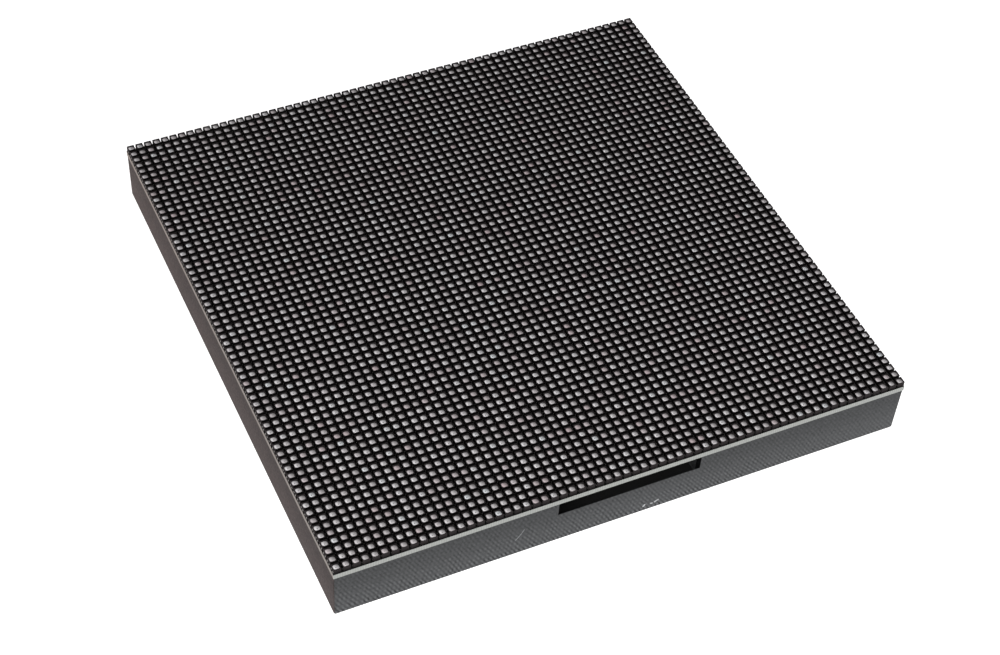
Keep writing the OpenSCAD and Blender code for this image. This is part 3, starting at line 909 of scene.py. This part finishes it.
class DISPLAY_OT_fastenings(bpy.types.Operator):
    """Inserts, screws and soldered nuts"""

    bl_idname = "display.fastenings"
    bl_label = "Fastenings"

    def execute(self, context):
        colours = context.scene.display_colours
        steel = metal_finish("plated_steel", colours.steel, 0.36)
        dress(brass_finish(colours), "mount_inserts", edge=0.1 * MM)
        dress(steel, "board_screws", "board_nuts", edge=0.08 * MM)
        return {"FINISHED"}


class DISPLAY_OT_connectors(bpy.types.Operator):
    """Data and power connectors"""

    bl_idname = "display.connectors"
    bl_label = "Connectors"

    def execute(self, context):
        colours = context.scene.display_colours
        black = moulded_finish("connector_black", colours.black_plastic, 0.5)
        white = moulded_finish("connector_white", colours.white_plastic, 0.5)
        gold = metal_finish("gold_plating", colours.gold, 0.3)
        dress(black, "data_in_shroud", "data_out_shroud", edge=0.12 * MM)
        dress(gold, "data_in_pins", "data_out_pins", edge=0.08 * MM)
        dress(white, "power_socket", edge=0.15 * MM)
        dress(metal_finish("contact_tin", colours.tin, 0.36), "power_pins", edge=0.1 * MM)
        return {"FINISHED"}


class DISPLAY_OT_chips(bpy.types.Operator):
    """Driver, scan and buffer chips with their leads"""

    bl_idname = "display.chips"
    bl_label = "Chips"

    def execute(self, context):
        colours = context.scene.display_colours
        epoxy = moulded_finish("chip_epoxy", colours.epoxy, 0.62, 8.0)
        tin = metal_finish("lead_tin", colours.tin, 0.38)
        chips = numbered("driver_chip", 24) + numbered("scan_chip", 4) + numbered("buffer_chip", 2)
        dress(epoxy, *chips, edge=0.06 * MM)
        dress(tin, "driver_leads", "scan_leads", "buffer_leads")
        return {"FINISHED"}


class DISPLAY_OT_capacitors(bpy.types.Operator):
    """Bulk capacitors and the small chip parts"""

    bl_idname = "display.capacitors"
    bl_label = "Capacitors and Resistors"

    def execute(self, context):
        colours = context.scene.display_colours
        black = moulded_finish("base_black", colours.black_plastic, 0.5)
        dress(black, *numbered("capacitor_base", 4), edge=0.1 * MM)
        dress(can_finish(colours), *numbered("capacitor_can", 4), edge=0.08 * MM)
        for name, tint, ends in (
            ("bypass_capacitors", colours.ceramic, driver_ends),
            ("set_resistors", colours.film, driver_ends),
            ("resistor_arrays", colours.film, array_ends),
        ):
            dress(small_part_finish(name, tint, colours, ends), name, edge=0.05 * MM)
        return {"FINISHED"}


class DISPLAY_OT_stage(bpy.types.Operator):
    """Pale floor, soft light and the camera"""

    bl_idname = "display.stage"
    bl_label = "Stage"

    def execute(self, context):
        stage = context.scene.display_stage
        context.scene.view_settings.view_transform = "Standard"
        floor = self.floor(stage)
        self.world(context, stage)
        self.area_light("key_light", stage.key_at, stage.key_power, stage.key_side)
        self.area_light("near_light", stage.near_at, stage.near_power, stage.near_side)
        self.area_light("low_light", stage.low_at, stage.low_power, stage.low_side)
        self.area_light("side_light", stage.side_at, stage.side_power, stage.side_side, stage.warm)
        self.camera(context, stage)
        return {"FINISHED"}

    def camera(self, context, stage):
        camera = bpy.data.objects.new("camera", bpy.data.cameras.new("camera"))
        context.scene.collection.objects.link(camera)
        camera.data.sensor_width = 36
        camera.data.lens = stage.lens
        camera.data.clip_start = 0.01
        camera.location = stage.camera_at
        line = Vector(stage.camera_to) - Vector(stage.camera_at)
        camera.rotation_mode = "QUATERNION"
        roll = Quaternion((0, 0, 1), stage.camera_roll)
        camera.rotation_quaternion = line.to_track_quat("-Z", "Y") @ roll
        context.scene.camera = camera

    def floor(self, stage):
        bpy.ops.object.select_all(action="DESELECT")
        below = FRAME_LOW.z - stage.floor_gap
        bpy.ops.mesh.primitive_plane_add(size=stage.floor_side, location=(0, 0, below))
        floor = bpy.context.active_object
        floor.name = floor.data.name = "floor"
        finish = Finish("floor_paper", {"Roughness": 0.9, "Emission Strength": 1.0})
        x, y, _ = finish.where()
        glow = finish.length(x, y).ramp(250, 1500, 0.7, 0.86)
        # Under the module the floor is dark, a painted shadow, and does not glow
        beside = (abs(x) | abs(y)) > FRAME_HIGH.x / MM - 1
        finish.feed(
            base_color=finish.mix(beside, stage.under, stage.paper),
            emission_color=finish.mix(seen_directly(finish) * beside * glow, (0, 0, 0), (1, 1, 1)),
        )
        floor.data.materials.append(finish.material)
        return floor

    def world(self, context, stage):
        world = bpy.data.worlds.new("studio")
        context.scene.world = world
        world.use_nodes = True
        sky = Shading(world.node_tree)
        shown = sky.mix(seen_directly(sky), stage.sky, (1, 1, 1))
        sky.tree.links.new(shown.out, sky.tree.nodes["Background"].inputs["Color"])

    def area_light(self, name, at, power, side, tint=(1, 1, 1)):
        light = bpy.data.lights.new(name, "AREA")
        light.energy, light.size, light.color = power, side, tint
        obj = bpy.data.objects.new(name, light)
        bpy.context.scene.collection.objects.link(obj)
        obj.location = at
        obj.rotation_mode = "QUATERNION"
        obj.rotation_quaternion = (-Vector(at)).to_track_quat("-Z", "Y")
        obj.visible_camera = False


def seen_directly(shading):
    """1 for rays that show the background: to the camera, in a reflection or through glass; else 0."""
    kinds = ("Camera", "Glossy", "Transmission")
    return any_of([shading.node("ShaderNodeLightPath", out=f"Is {kind} Ray") for kind in kinds])


class DISPLAY_PT_pieces(bpy.types.Panel):
    """Lists the pieces of the display module"""

    bl_label = "LED Display Module"
    bl_space_type = "VIEW_3D"
    bl_region_type = "UI"
    bl_category = "Display"

    def draw(self, context):
        for operator in OPERATORS:
            self.layout.operator(operator.bl_idname)


SETTINGS = {"display_lamps": LampSizes, "display_colours": FinishColours, "display_stage": StageSettings}
OPERATORS = (
    DISPLAY_OT_frame,
    DISPLAY_OT_board,
    DISPLAY_OT_lamp_bodies,
    DISPLAY_OT_lamp_windows,
    DISPLAY_OT_lamp_leads,
    DISPLAY_OT_fastenings,
    DISPLAY_OT_connectors,
    DISPLAY_OT_chips,
    DISPLAY_OT_capacitors,
    DISPLAY_OT_stage,
)
CLASSES = (*SETTINGS.values(), *OPERATORS, DISPLAY_PT_pieces)


def register():
    for cls in CLASSES:
        bpy.utils.register_class(cls)
    for name, group in SETTINGS.items():
        setattr(bpy.types.Scene, name, bpy.props.PointerProperty(type=group))


def unregister():
    for name in SETTINGS:
        delattr(bpy.types.Scene, name)
    for cls in reversed(CLASSES):
        bpy.utils.unregister_class(cls)


def main():
    register()
    for operator in OPERATORS:
        group, name = operator.bl_idname.split(".")
        getattr(getattr(bpy.ops, group), name)()


if __name__ == "__main__":
    main()
